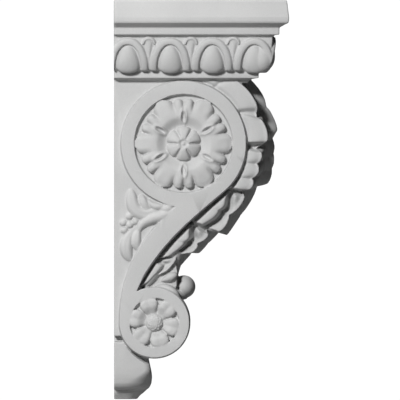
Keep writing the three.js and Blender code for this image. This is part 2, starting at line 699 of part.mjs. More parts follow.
// The web that closes the space between the stem, the tip and the small scroll, with three folds of the leaf
// on each side. Depths and heights are those of the flank's drawing.
function makeWeb() {
  const behindStem = (t) => stemOuter.getPoint(t).addScalar(-4);
  const web = flankSolid(new THREE.Shape([
    new THREE.Vector2(39, 150), behindStem(0.9), behindStem(0.7), new THREE.Vector2(86, 195),
    new THREE.Vector2(89, 178), new THREE.Vector2(88, 160), new THREE.Vector2(80, 146),
    new THREE.Vector2(56, 138),
  ]), webHalfWidth, 1);
  const folds = [
    { line: path2([64, 189], [55, 175], [43, 157]), half: 6.2, rise: 9, widest: 0.4 },
    { line: path2([66, 166], [77, 171], [89, 176]), half: 6, rise: 9, widest: 0.6 },
    { line: path2([58, 159], [72, 158], [83, 152], [92, 142]), half: 4.6, rise: 10, widest: 0.6 },
  ];
  const solids = [web];
  for (const side of [-1, 1]) {
    const onWeb = (a, b, lift) => place(a, b, side * (webHalfWidth + lift));
    for (const { line, half, rise, widest } of folds) {
      solids.push(lobe(onWeb, line, (s) => 0.5 + half * swell(s, widest),
        (s) => 0.3 + rise * swell(s, widest) ** 0.6, { stations: 3, spans: 3 }));
    }
  }
  return solids;
}

// The drop: sections that grow outwards and then draw in to a small foot, with rounded front corners.
function makeDrop() {
  const shoulder = 0.47;
  const sections = [
    { up: 1.3, half: 0.76, out: 0.7 },
    { up: 1, half: 0.76, out: 0.76 },
    { up: 0.98, half: 1, out: 0.79 },
    { up: shoulder + 0.1, half: 1, out: 0.96 },
    { up: shoulder - 0.1, half: 0.97, out: 1.015 },
    { up: 0.25, half: 0.89, out: 0.99 },
    { up: 0.2, half: 0.8, out: 0.945 },
    { up: 0.185, half: 0.56, out: 0.91 },
    { up: 0.135, half: 0.54, out: 0.83 },
    { up: 0.06, half: 0.44, out: 0.69 },
    { up: 0, half: 0.34, out: 0.62 },
  ];
  const cornerSpans = 2;
  const rings = sections.map(({ up, half, out }) => {
    const [x, depth] = [dropHalfWidth * half, dropProjection * out];
    const cornerRadius = Math.min(0.9 * x, mix(36, 8, smooth(0.25, 0.54, up)));
    const ring = [place(-wallBite, up * dropHeight, -x)];
    for (const side of [-1, 1]) {
      for (let i = 0; i <= cornerSpans; i++) {
        const turn = (Math.PI / 2) * (side < 0 ? i / cornerSpans : 1 - i / cornerSpans);
        ring.push(place(depth - cornerRadius * (1 - Math.sin(turn)), up * dropHeight,
          side * (x - cornerRadius * (1 - Math.cos(turn)))));
      }
    }
    ring.push(place(-wallBite, up * dropHeight, x));
    return ring;
  });
  return loft(rings).subtract(
    sinking(gapCentre, gapRadius, scrollFace - gapHalfWidth, 30));
}

function makeCorbel() {
  const scroll = flankSolid(scrollShape(), scrollFace, 1)
    .subtract(sinking(bigCentre, bigRadius - bigRim, bigRecess, 40))
    .subtract(sinking(smallCentre, smallRadius - smallRim, smallRecess, 24));
  let stone = wasm.Manifold.union([
    makeCap(), ...eggAndDart(), scroll, flankSolid(panelShape(), halfBody, 1), makeLeaf(), ...makeTip(),
    ...makeWeb(), makeDrop(),
    ...[-1, 1].flatMap((side) => [...rosette(side), ...flower(side), ...husk(side)]),
  ]);
  stone = stone.trimByPlane([0, -1, 0], 0);
  stone = stone.simplify(0.1).translate([0, 0, -height / 2]);
  const kept = stone.decompose().sort((a, b) => b.volume() - a.volume())[0];
  const mesh = kept.getMesh();
  const geometry = new THREE.BufferGeometry();
  geometry.setAttribute('position', new THREE.BufferAttribute(new Float32Array(mesh.vertProperties), 3));
  geometry.setIndex(new THREE.BufferAttribute(new Uint32Array(mesh.triVerts), 1));
  geometry.computeVertexNormals();
  return geometry;
}

const paleStone = new THREE.MeshStandardMaterial({ color: 0xc9c9c7, roughness: 0.85, metalness: 0 });
const corbel = new THREE.Mesh(makeCorbel(), paleStone);
corbel.name = 'corbel';
const part = new THREE.Group();
part.add(corbel);

export default part;
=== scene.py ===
import math

import bpy
import numpy as np
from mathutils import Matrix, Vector


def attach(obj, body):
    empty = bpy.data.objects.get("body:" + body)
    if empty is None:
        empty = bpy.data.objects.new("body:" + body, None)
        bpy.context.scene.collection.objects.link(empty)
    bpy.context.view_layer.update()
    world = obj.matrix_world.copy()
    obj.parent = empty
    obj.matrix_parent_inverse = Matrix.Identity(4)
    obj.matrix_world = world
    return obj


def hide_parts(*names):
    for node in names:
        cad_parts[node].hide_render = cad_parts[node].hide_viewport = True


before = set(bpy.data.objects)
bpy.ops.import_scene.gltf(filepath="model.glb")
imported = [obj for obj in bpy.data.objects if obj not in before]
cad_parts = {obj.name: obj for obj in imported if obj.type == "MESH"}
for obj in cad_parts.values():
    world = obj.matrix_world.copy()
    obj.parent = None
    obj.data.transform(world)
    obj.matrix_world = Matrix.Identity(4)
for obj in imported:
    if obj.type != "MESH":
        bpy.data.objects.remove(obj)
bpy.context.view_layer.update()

# The camera looks square at the left flank from far away with a long lens, so that the mouldings don't
# converge.
aim = Vector((-0.058, -0.1205, 0.0))
reach = 20.0
rise = 0.25
camera_data = bpy.data.cameras.new("camera")
camera_data.lens = 1286.0
camera_data.sensor_width = 36.0
camera = bpy.data.objects.new("camera", camera_data)
camera.location = aim + Vector((-reach, 0.0, rise))
camera.rotation_euler = (aim - camera.location).to_track_quat("-Z", "Y").to_euler()
bpy.context.collection.objects.link(camera)
bpy.context.scene.camera = camera

# The studio: a key light on the camera's side and towards the wall, a weak one overhead, one on the far side,
# a dim dome that the camera sees as plain white, and a grey floor well under the corbel.
bpy.context.scene.view_settings.view_transform = "Standard"


def softbox(name, place, target, size, power):
    lamp = bpy.data.lights.new(name, "AREA")
    lamp.shape = "SQUARE"
    lamp.size = size
    lamp.energy = power
    holder = bpy.data.objects.new(name, lamp)
    holder.location = place
    holder.rotation_euler = (Vector(target) - Vector(place)).to_track_quat("-Z", "Y").to_euler()
    holder.visible_camera = False
    bpy.context.collection.objects.link(holder)


softbox("key_light", (-2.95, 1.1, 1.5), (0, -0.1, 0), 0.45, 130)
softbox("top_light", (-0.6, 0.6, 2.6), (0, -0.1, 0), 0.7, 22)
softbox("far_light", (3.3, 0.3, 1.3), (0, -0.1, 0), 0.5, 60)

surround = bpy.data.worlds.new("surround")
surround.use_nodes = True
world_nodes = surround.node_tree.nodes
world_links = surround.node_tree.links
world_nodes.clear()
world_out = world_nodes.new("ShaderNodeOutputWorld")
white = world_nodes.new("ShaderNodeBackground")
white.inputs["Color"].default_value = (1, 1, 1, 1)
white.inputs["Strength"].default_value = 1.05
dome = world_nodes.new("ShaderNodeBackground")
dome.inputs["Strength"].default_value = 0.03
sky_place = world_nodes.new("ShaderNodeTexCoord")
sky_split = world_nodes.new("ShaderNodeSeparateXYZ")
sky_ramp = world_nodes.new("ShaderNodeValToRGB")
sky_ramp.color_ramp.elements[0].position = 0.45
sky_ramp.color_ramp.elements[0].color = (0.12, 0.12, 0.12, 1)
sky_ramp.color_ramp.elements[1].position = 0.9
sky_ramp.color_ramp.elements[1].color = (1, 1, 1, 1)
sky_shift = world_nodes.new("ShaderNodeMath")
sky_shift.operation = "MULTIPLY_ADD"
sky_shift.inputs[1].default_value = 0.5
sky_shift.inputs[2].default_value = 0.5
seen = world_nodes.new("ShaderNodeLightPath")
choose = world_nodes.new("ShaderNodeMixShader")
world_links.new(sky_place.outputs["Generated"], sky_split.inputs["Vector"])
world_links.new(sky_split.outputs["Z"], sky_shift.inputs[0])
world_links.new(sky_shift.outputs["Value"], sky_ramp.inputs["Fac"])
world_links.new(sky_ramp.outputs["Color"], dome.inputs["Color"])
world_links.new(seen.outputs["Is Camera Ray"], choose.inputs["Fac"])
world_links.new(dome.outputs["Background"], choose.inputs[1])
world_links.new(white.outputs["Background"], choose.inputs[2])
world_links.new(choose.outputs["Shader"], world_out.inputs["Surface"])
bpy.context.scene.world = surround

floor_half = 3.0
floor_height = -1.1
floor_mesh = bpy.data.meshes.new("studio_floor")
floor_mesh.from_pydata(
    [(-floor_half, -floor_half, floor_height), (floor_half, -floor_half, floor_height),
     (floor_half, floor_half, floor_height), (-floor_half, floor_half, floor_height)], [], [(0, 1, 2, 3)])
floor_paint = bpy.data.materials.new("studio_floor")
floor_paint.use_nodes = True
floor_paint.node_tree.nodes["Principled BSDF"].inputs["Base Color"].default_value = (0.32, 0.32, 0.32, 1)
floor_paint.node_tree.nodes["Principled BSDF"].inputs["Roughness"].default_value = 0.9
floor_mesh.materials.append(floor_paint)
studio_floor = bpy.data.objects.new("studio_floor", floor_mesh)
bpy.context.collection.objects.link(studio_floor)

# The body: a plain flat-sided block of cast stone, built into the wall at its back. Every carving is a closed
# form let a few millimetres into it, and they all become one casting at the end. Sizes are in millimetres.
height = 560.0
projection = 245.0
half_body = 49.5
neck_depth = projection - 57.0
wall_bite = 6.0
mm = 0.001


def place(depth, up, x):
    depth, up, x = np.broadcast_arrays(np.asarray(depth, float), np.asarray(up, float), np.asarray(x, float))
    return np.stack([x, -depth, up - height / 2], axis=-1) * mm


def mix(a, b, t):
    return a + (b - a) * t


def smooth(low, high, x):
    t = np.clip((np.asarray(x, float) - low) / (high - low), 0, 1)
    return t * t * (3 - 2 * t)


def mesh_object(name, points, faces):
    mesh = bpy.data.meshes.new(name)
    mesh.from_pydata([tuple(p) for p in points], [], faces)
    mesh.validate()
    thing = bpy.data.objects.new(name, mesh)
    bpy.context.collection.objects.link(thing)
    return thing


def signed_volume(mesh):
    mesh.calc_loop_triangles()
    corners = np.empty(len(mesh.vertices) * 3)
    mesh.vertices.foreach_get("co", corners)
    corners = corners.reshape(-1, 3)
    tris = np.empty(len(mesh.loop_triangles) * 3, dtype=np.int64)
    mesh.loop_triangles.foreach_get("vertices", tris)
    a, b, c = corners[tris.reshape(-1, 3).T]
    return float(np.einsum("ij,ij->i", a, np.cross(b, c)).sum())


def outward(thing):
    if signed_volume(thing.data) < 0:
        thing.data.flip_normals()
    return thing


# A closed skin through rings of equal length, with a fan over each end.
def loft(name, rings, crown=None):
    rings = np.asarray(rings)
    count, around = rings.shape[:2]
    points = rings.reshape(-1, 3)
    grid = np.arange(count * around).reshape(count, around)
    turned = np.roll(grid, -1, axis=1)
    faces = np.stack([grid[:-1], turned[:-1], turned[1:], grid[1:]], axis=-1).reshape(-1, 4).tolist()
    hubs = [rings[0].mean(axis=0) if crown is None else np.asarray(crown), rings[-1].mean(axis=0)]
    first, last = len(points), len(points) + 1
    faces += [(int(b), int(a), first) for a, b in zip(grid[0], turned[0])]
    faces += [(int(a), int(b), last) for a, b in zip(grid[-1], turned[-1])]
    return outward(mesh_object(name, np.vstack([points, hubs]), faces))


def flank_prism(name, outline, half, face=None):
    outline = np.asarray(outline)
    count = len(outline)
    layers = [(-half, outline), (half, outline)]
    if face is not None:
        layers = [(-half, face), (-half_body, outline), (half_body, outline), (half, face)]
    points = np.vstack([place(line[:, 0], line[:, 1], x) for x, line in layers])
    last = count * (len(layers) - 1)
    faces = [tuple(range(count)), tuple(range(last + count - 1, last - 1, -1))]
    for low in range(0, last, count):
        faces += [(low + i, low + i + count, low + (i + 1) % count + count, low + (i + 1) % count)
                  for i in range(count)]
    return outward(mesh_object(name, points, faces))


def turned_point(centre, radius, degrees):
    a = np.radians(degrees)
    return np.stack([centre[0] + radius * np.cos(a), centre[1] + radius * np.sin(a)], axis=-1)


def bezier(p0, p1, p2, p3, t):
    t = np.asarray(t, float)[..., None]
    return (1 - t) ** 3 * p0 + 3 * (1 - t) ** 2 * t * p1 + 3 * (1 - t) * t ** 2 * p2 + t ** 3 * p3


# A smooth line through points, and its direction, at shares of its length.
def spline_at(points, shares):
    p = np.asarray(points, float)
    knots = np.arange(len(p))
    fine = np.linspace(0, len(p) - 1, 40 * (len(p) - 1) + 1)
    i = np.clip(fine.astype(int), 0, len(p) - 2)
    t = (fine - knots[i])[:, None]
    before, after = p[np.maximum(i - 1, 0)], p[np.minimum(i + 2, len(p) - 1)]
    a, b = p[i], p[i + 1]
    path = 0.5 * (2 * a + (b - before) * t + (2 * before - 5 * a + 4 * b - after) * t ** 2
                  + (3 * a - before - 3 * b + after) * t ** 3)
    run = np.concatenate([[0], np.cumsum(np.hypot(*np.diff(path, axis=0).T))])
    want = np.asarray(shares) * run[-1]
    at = np.stack([np.interp(want, run, path[:, k]) for k in range(2)], axis=-1)
    slope = np.gradient(path, run, axis=0)
    way = np.stack([np.interp(want, run, slope[:, k]) for k in range(2)], axis=-1)
    return at, way / np.linalg.norm(way, axis=-1, keepdims=True)


# A raised lobe on a surface: half and rise give its half width and height along it, and vein cuts a groove
# down its middle. on_surface turns a, b and lift into points.
def lobe(name, on_surface, points, half, rise, stations=30, spans=14, sink=3.0, vein=0.0):
    shares = np.linspace(0.012, 0.988, stations)
    at, way = spline_at(points, shares)
    turn = np.linspace(0, np.pi, spans + 1)
    off = -np.cos(turn)[None, :] * half(shares)[:, None]
    lift = np.sin(turn)[None, :] * rise(shares)[:, None]
    lift = lift * (1 - vein * np.exp(-((np.cos(turn) / 0.22) ** 2)))[None, :]
    off = np.hstack([off, half(shares)[:, None], -half(shares)[:, None]])
    lift = np.hstack([lift, np.full((stations, 2), -sink)])
    a = at[:, :1] - way[:, 1:] * off
    b = at[:, 1:] + way[:, :1] * off
    return loft(name, on_surface(a, b, lift))


def oval(share):
    return np.sqrt(np.maximum(0, 1 - (2 * share - 1) ** 2))


carvings = []

# The cap: abacus, soffit slope, fillet, ovolo, lower fillet and cove, mitred at the two front corners. They
# are run round three sides and stop on the wall. Fillets are given by their overhang and height.
abacus = (57.0, 33.3)  # overhang and height
abacus_draft = 2.8
soffit_height = 5.2
upper_fillet = (43.5, 10.2)
quirk_height = 3.2
ovolo_top, ovolo_foot, ovolo_height = 34.0, 12.0, 48.0
lower_fillet = (14.6, 9.5)
cove_depth, cove_height = 13.0, 6.3
abacus_foot = height - abacus[1]
soffit_foot = abacus_foot - soffit_height
upper_fillet_foot = soffit_foot - upper_fillet[1]
ovolo_head = upper_fillet_foot - quirk_height
ovolo_base = ovolo_head - ovolo_height
lower_fillet_foot = ovolo_base - lower_fillet[1]


def cap_ring(up, overhang):
    half, depth, arris, nose = half_body + overhang, neck_depth + overhang, 3.0, 1.0
    plan = [(-half + arris, -wall_bite), (-half + arris, 0), (-half, arris), (-half, depth - nose),
            (-half + nose, depth), (half - nose, depth), (half, depth - nose), (half, arris),
            (half - arris, 0), (half - arris, -wall_bite)]
    return [place(d, up, x) for x, d in plan]


profile = [
    (height, abacus[0] - abacus_draft - 2), (height - 0.7, abacus[0] - abacus_draft - 0.7),
    (height - 2, abacus[0] - abacus_draft), (abacus_foot + 9, abacus[0]), (abacus_foot + 4, abacus[0] - 0.2),
    (abacus_foot + 1.6, abacus[0] - 0.9), (abacus_foot + 0.4, abacus[0] - 2.2),
    (abacus_foot, abacus[0] - 3.6), (soffit_foot + 0.6, upper_fillet[0] + 1.5),
    (soffit_foot, upper_fillet[0] - 0.3), (soffit_foot - 0.6, upper_fillet[0]),
    (upper_fillet_foot + 0.7, upper_fillet[0]), (upper_fillet_foot, upper_fillet[0] - 0.9),
    (upper_fillet_foot - 0.6, ovolo_top + 3), (ovolo_head, ovolo_top)]
profile += [(ovolo_head - ovolo_height * math.sin(a), ovolo_foot + (ovolo_top - ovolo_foot) * math.cos(a))
            for a in np.radians(np.linspace(5, 85, 17))]
profile += [
    (ovolo_base + 0.4, ovolo_foot), (ovolo_base, lower_fillet[0] - 1), (ovolo_base - 0.7, lower_fillet[0]),
    (lower_fillet_foot + 0.7, lower_fillet[0]), (lower_fillet_foot, lower_fillet[0] - 0.7)]
profile += [(lower_fillet_foot - 0.3 - cove_height * (1 - math.cos(a)), cove_depth * (1 - math.sin(a)))
            for a in np.radians(np.linspace(10, 90, 9))]
cap = loft("cap", [cap_ring(up, out) for up, out in profile])

# The egg and dart: eggs held in arched shells, with a hooded dart between each two, cast on the ovolo. A cell
# is shaped once on the front, and Geometry Nodes set it out along the three sides.
egg_spacing = 59.0
egg_length, egg_foot, egg_half, egg_rise, egg_taper = 45.5, 2.5, 16.5, 8.0, 0.17
shell_band, shell_height = 5.2, 56.3
dart_half, dart_rise = 6.5, 2.4

ovolo_turn = np.linspace(-np.pi / 2, 0, 400)
ovolo_line = np.stack([ovolo_foot + (ovolo_top - ovolo_foot) * np.cos(ovolo_turn),
                       ovolo_head + ovolo_height * np.sin(ovolo_turn)], axis=-1)
ovolo_run = np.concatenate([[0], np.cumsum(np.hypot(*np.diff(ovolo_line, axis=0).T))])
ovolo_way = np.gradient(ovolo_line, ovolo_run, axis=0)


def on_ovolo(a, b, lift):
    inside = np.clip(b, 0, ovolo_run[-1])
    beyond = b - inside
    out = np.interp(inside, ovolo_run, ovolo_line[:, 0])
    up = np.interp(inside, ovolo_run, ovolo_line[:, 1])
    tx = np.interp(inside, ovolo_run, ovolo_way[:, 0])
    ty = np.interp(inside, ovolo_run, ovolo_way[:, 1])
    return place(neck_depth + out + tx * beyond + ty * lift, up + ty * beyond - tx * lift, a)


def egg_cell():
    middle = 0.31 * egg_length
    outer = egg_spacing / 2 - 0.7
    inner = outer - 2 * shell_band
    sides = 72
    turn = 2 * np.pi * np.arange(sides) / sides
    c, s = np.sin(turn), np.cos(turn)
    upper = s > 0
    lowest = (ovolo_base - height / 2) * mm

    def ring(half, top, foot, lift, leg, taper=0.0, floor=1.2):
        a = half * np.sign(c) * np.abs(c) ** np.where(upper, 0.93, leg) * np.where(upper, 1 - taper * s, 1)
        b = middle + s * np.where(upper, top - middle, middle - foot)
        points = on_ovolo(a, b, np.full(sides, lift))
        if lift > 0:
            points[:, 2] = np.maximum(points[:, 2], lowest + floor * mm)
        return points

    rings = []
    for share in np.arange(1, 15) / 14:
        lift = 0.4 + (egg_rise - 0.4) * (1 - share ** 2.3) ** 0.62
        top, foot = mix(middle, egg_length, share), mix(middle, egg_foot, share)
        rings.append(ring(share * egg_half, top, foot, lift, 1.0, egg_taper, -2.2))
    crown_top = shell_height - 2 * shell_band
    rings += [ring(egg_half + 0.3, egg_length + 0.3, -2, -4.5, 0.8, egg_taper),
              ring(inner - 0.6, crown_top - 0.2, -3, -4.0, 0.5),
              ring(inner + 0.5, crown_top + 0.9, -3, 3.6, 0.42),
              ring(inner + 1.6, crown_top + 2.2, -3, 4.6, 0.4),
              ring(inner + 4, crown_top + 4.6, -3.4, 5.0, 0.4),
              ring(outer - 3.6, shell_height - 3.8, -3.7, 4.9, 0.4),
              ring(outer - 1.5, shell_height - 1.6, -4, 4.0, 0.4),
              ring(outer - 0.4, shell_height - 0.4, -4, 1.6, 0.4),
              ring(outer, shell_height, -5, -2.5, 0.4)]
    return loft("egg_cell", rings, on_ovolo(0.0, middle, egg_rise))


def hooded_dart():
    line = [(0, 8), (0, 30), (0, shell_height - 1)]
    blade = lobe("dart", on_ovolo, line, lambda s: mix(0.9, dart_half, s ** 2),
                 lambda s: 0.4 + dart_rise * s ** 0.5)
    arch = [(-8.6, 46), (-6, 52.5), (0, 55.2), (6, 52.5), (8.6, 46)]
    hood = lobe("dart_hood", on_ovolo, arch, lambda s: 0.4 + 1.9 * oval(s) ** 0.5,
                lambda s: 0.2 + 4.4 * oval(s) ** 0.5, stations=24, spans=8)
    return [blade, hood]


# A ball with its own radius across, outwards and up, turned in the plane of the flank.
def ball(name, x, centre, radii, tilt=0.0, square=2.6):
    around = 2 * np.pi * np.arange(72) / 72
    across = np.linspace(-1, 1, 50)[1:-1]
    rings = []
    for u in np.sin(across * np.pi / 2):
        r = math.sqrt(1 - abs(u) ** square)
        p, q = radii[1] * r * np.cos(around), radii[2] * r * np.sin(around)
        c, s = math.cos(math.radians(tilt)), math.sin(math.radians(tilt))
        rings.append(place(centre[0] + c * p - s * q, centre[1] + s * p + c * q, x + radii[0] * u))
    return loft(name, rings)


# The eggs of the flank and the front run together in one at each corner.
corner_out, corner_up, corner_radii = 19.5, 481.0, (18.0, 18.0, 22.0)
carvings += [ball("corner_egg", side * (half_body + corner_out), (neck_depth + corner_out, corner_up),
                  corner_radii, square=2.0) for side in (-1, 1)]


def run_tree():
    tree = bpy.data.node_groups.new("carvings along a run", "GeometryNodeTree")
    face = tree.interface
    face.new_socket("Geometry", in_out="INPUT", socket_type="NodeSocketGeometry")
    face.new_socket("Carving", in_out="INPUT", socket_type="NodeSocketObject")
    face.new_socket("Count", in_out="INPUT", socket_type="NodeSocketInt")
    face.new_socket("First", in_out="INPUT", socket_type="NodeSocketFloat")
    face.new_socket("Spacing", in_out="INPUT", socket_type="NodeSocketFloat")
    face.new_socket("Turn", in_out="INPUT", socket_type="NodeSocketFloat")
    face.new_socket("Shift", in_out="INPUT", socket_type="NodeSocketFloat")
    face.new_socket("Finish", in_out="INPUT", socket_type="NodeSocketMaterial")
    face.new_socket("Geometry", in_out="OUTPUT", socket_type="NodeSocketGeometry")
    nodes, links = tree.nodes, tree.links
    given, made = nodes.new("NodeGroupInput"), nodes.new("NodeGroupOutput")
    line = nodes.new("GeometryNodeMeshLine")
    start, step = nodes.new("ShaderNodeCombineXYZ"), nodes.new("ShaderNodeCombineXYZ")
    what = nodes.new("GeometryNodeObjectInfo")
    spread = nodes.new("GeometryNodeInstanceOnPoints")
    move = nodes.new("GeometryNodeTransform")
    turn, shift = nodes.new("ShaderNodeCombineXYZ"), nodes.new("ShaderNodeCombineXYZ")
    real, finish = nodes.new("GeometryNodeRealizeInstances"), nodes.new("GeometryNodeSetMaterial")
    links.new(given.outputs["Count"], line.inputs["Count"])
    links.new(given.outputs["First"], start.inputs["X"])
    links.new(given.outputs["Spacing"], step.inputs["X"])
    links.new(start.outputs["Vector"], line.inputs["Start Location"])
    links.new(step.outputs["Vector"], line.inputs["Offset"])
    links.new(given.outputs["Carving"], what.inputs["Object"])
    links.new(line.outputs["Mesh"], spread.inputs["Points"])
    links.new(what.outputs["Geometry"], spread.inputs["Instance"])
    links.new(given.outputs["Turn"], turn.inputs["Z"])
    links.new(given.outputs["Shift"], shift.inputs["X"])
    links.new(spread.outputs["Instances"], move.inputs["Geometry"])
    links.new(turn.outputs["Vector"], move.inputs["Rotation"])
    links.new(shift.outputs["Vector"], move.inputs["Translation"])
    links.new(move.outputs["Geometry"], real.inputs["Geometry"])
    links.new(real.outputs["Geometry"], finish.inputs["Geometry"])
    links.new(given.outputs["Finish"], finish.inputs["Material"])
    links.new(finish.outputs["Geometry"], made.inputs["Geometry"])
    return tree


# Gives a tree its inputs by name, and returns its result as a plain mesh object.
def grow(name, tree, **inputs):
    seed = mesh_object(name, [(0, 0, 0)], [])
    modifier = seed.modifiers.new(name, "NODES")
    modifier.node_group = tree
    for item in tree.interface.items_tree:
        if item.in_out == "INPUT" and item.name in inputs:
            modifier[item.identifier] = inputs[item.name]
    bpy.context.view_layer.update()
    shape = bpy.data.meshes.new_from_object(seed.evaluated_get(bpy.context.evaluated_depsgraph_get()))
    seed.modifiers.clear()
    seed.data = shape
    return seed


cast_stone = bpy.data.materials.new("cast_stone")
along_run = run_tree()
corner_at = neck_depth + ovolo_top
flank_eggs, front_eggs = 4, 3
flank_first = corner_at + 4 - 0.5 * egg_spacing
meeting = neck_depth - half_body  # the depth at which the mitres of the two front corners meet
side_shift = meeting * mm


def three_runs(name, carving, first, count, front_first, front_count):
    spacing = egg_spacing * mm
    left = grow(name + "_left", along_run, Carving=carving, Count=count, First=first * mm, Spacing=-spacing,
                Turn=-math.pi / 2, Shift=side_shift, Finish=cast_stone)
    right = grow(name + "_right", along_run, Carving=carving, Count=count, First=-first * mm, Spacing=spacing,
                 Turn=math.pi / 2, Shift=-side_shift, Finish=cast_stone)
    front = grow(name + "_front", along_run, Carving=carving, Count=front_count, First=front_first * mm,
                 Spacing=spacing, Turn=0.0, Shift=0.0, Finish=cast_stone)
    return {"left": left, "right": right, "front": front}


def wedge(name, plan):
    low, high = 430.0, 540.0
    points = [place(d, up, x) for up in (low, high) for x, d in plan]
    n = len(plan)
    faces = [tuple(range(n)), tuple(range(2 * n - 1, n - 1, -1))]
    faces += [(i, i + n, (i + 1) % n + n, (i + 1) % n) for i in range(n)]
    return outward(mesh_object(name, points, faces))


def merge(base, others, operation="UNION"):
    for other in others:
        step = base.modifiers.new(other.name, "BOOLEAN")
        step.solver = "MANIFOLD"
        step.operation = operation
        step.object = other
    bpy.context.view_layer.update()
    shape = bpy.data.meshes.new_from_object(base.evaluated_get(bpy.context.evaluated_depsgraph_get()))
    base.modifiers.clear()
    base.data = shape
    for other in others:
        bpy.data.objects.remove(other)
    return base


cell = egg_cell()
runs = three_runs("eggs", cell, flank_first, flank_eggs, -egg_spacing, front_eggs)
plans = {"front": [(0, meeting), (200, meeting + 200), (-200, meeting + 200)],
         "left": [(0, meeting), (-200, meeting + 200), (-200, -50), (0, -50)],
         "right": [(0, meeting), (0, -50), (200, -50), (200, meeting + 200)]}
for side, plan in plans.items():
    carvings.append(merge(runs[side], [wedge("mitre_" + side, plan)], "INTERSECT"))
for carving in hooded_dart():
    darts = three_runs(carving.name, carving, flank_first - egg_spacing / 2, flank_eggs - 1, -egg_spacing / 2,
                       front_eggs - 1)
    carvings += list(darts.values())
    bpy.data.objects.remove(carving)
bpy.data.objects.remove(cell)

# The scroll on each flank: a flat raised band that rolls into a big volute above and a small one below, each
# sunk round its flower. It is one drawing pulled through the whole width.
scroll_relief = 8.5
big_radius, big_margin, big_rim, big_recess = 89.0, 8.6, 19.6, 8.0
small_radius, small_margin, small_up, small_rim, small_recess = 50.4, 6.3, 108.0, 15.4, 7.0
leave_angle, join_angle, inner_angle = -50.0, 120.5, -97.0
scroll_face = half_body + scroll_relief
wall_draft = 0.2  # how far the walls of the casting lean, for each millimetre of their height
big = np.array([big_margin + big_radius, lower_fillet_foot - 2.6 - big_radius])
small = np.array([small_margin + small_radius, small_up])


def ease_line(start, leaving, end, arriving, start_pull, end_pull):
    gap = np.hypot(*(end - start))
    return start, start + leaving * gap * start_pull, end - arriving * gap * end_pull, end


leaving = np.array([math.sin(math.radians(leave_angle)), -math.cos(math.radians(leave_angle))])
stem_outer = ease_line(turned_point(big, big_radius, leave_angle), leaving,
                       turned_point(small, small_radius, join_angle), np.array([-0.449, -0.893]),
                       0.376, 0.376)
stem_inner = ease_line(turned_point(big, big_radius, inner_angle), np.array([-0.8, -0.6]),
                       turned_point(small, small_radius, 180), np.array([0.0, -1.0]), 0.26, 0.45)
outline = np.vstack([
    turned_point(big, big_radius, np.linspace(90, leave_angle, 70)),
    bezier(*stem_outer, np.linspace(0, 1, 50)[1:]),
    turned_point(small, small_radius, np.linspace(join_angle, -180, 110)[1:]),
    bezier(*stem_inner, np.linspace(1, 0, 50)[1:]),
    turned_point(big, big_radius, np.linspace(inner_angle, -270, 80)[1:-1]),
])


# A round sinking in each flank, whose wall leans out to its mouth, which is drawn a little past the face.
def sinkings(centre, radius, depth, sides):
    past = 10
    turns = np.arange(sides) * 360 / sides
    mouth = turned_point(centre, radius + past * wall_draft, turns)
    floor = turned_point(centre, radius - depth * wall_draft, turns)
    return [loft("sinking", [place(mouth[:, 0], mouth[:, 1], side * (scroll_face + past)),
                             place(floor[:, 0], floor[:, 1], side * (scroll_face - depth))])
            for side in (-1, 1)]


# The walls of the scroll lean in towards its face, but for the two hollow corners of the drawing.
run_way = np.roll(outline, -1, axis=0) - np.roll(outline, 1, axis=0)
run_way /= np.linalg.norm(run_way, axis=1, keepdims=True)
hollows = [turned_point(big, big_radius, inner_angle), turned_point(small, small_radius, join_angle)]
lean = np.full(len(outline), scroll_relief * wall_draft)
for hollow in hollows:
    lean *= smooth(3, 30, np.hypot(*(outline - hollow).T))
face = outline - np.stack([-run_way[:, 1], run_way[:, 0]], axis=-1) * lean[:, None]

scroll = flank_prism("scroll", outline, scroll_face, face)
merge(scroll, sinkings(big, big_radius - big_rim, big_recess, 160)
      + sinkings(small, small_radius - small_rim, small_recess, 110), "DIFFERENCE")
middle_line = [(bezier(*stem_outer, t) + bezier(*stem_inner, t)) / 2 for t in (0.8, 0.5, 0.2)]
panel_foot = 90.0
panel = flank_prism("panel", [
    (-wall_bite, panel_foot), (small[0], panel_foot), tuple(small), *[tuple(p) for p in middle_line],
    tuple(big), (big[0] + big_radius * 0.35, big[1] + big_radius * 0.9),
    (big[0] + big_radius * 0.35, ovolo_base), (-wall_bite, ovolo_base)], half_body)

# The rosette in the big volute: six broad leaves, each with a rounded lobe at its tip and small lobes beside
# it, round a bud of six folded petals. Geometry Nodes turn one leaf into the six.
rosette_tip, rosette_shoulder, rosette_notch = 67.5, 62.5, 54.5
lobe_half = 15.0  # degrees
bud_radius, bud_rise = 24.0, 16.0


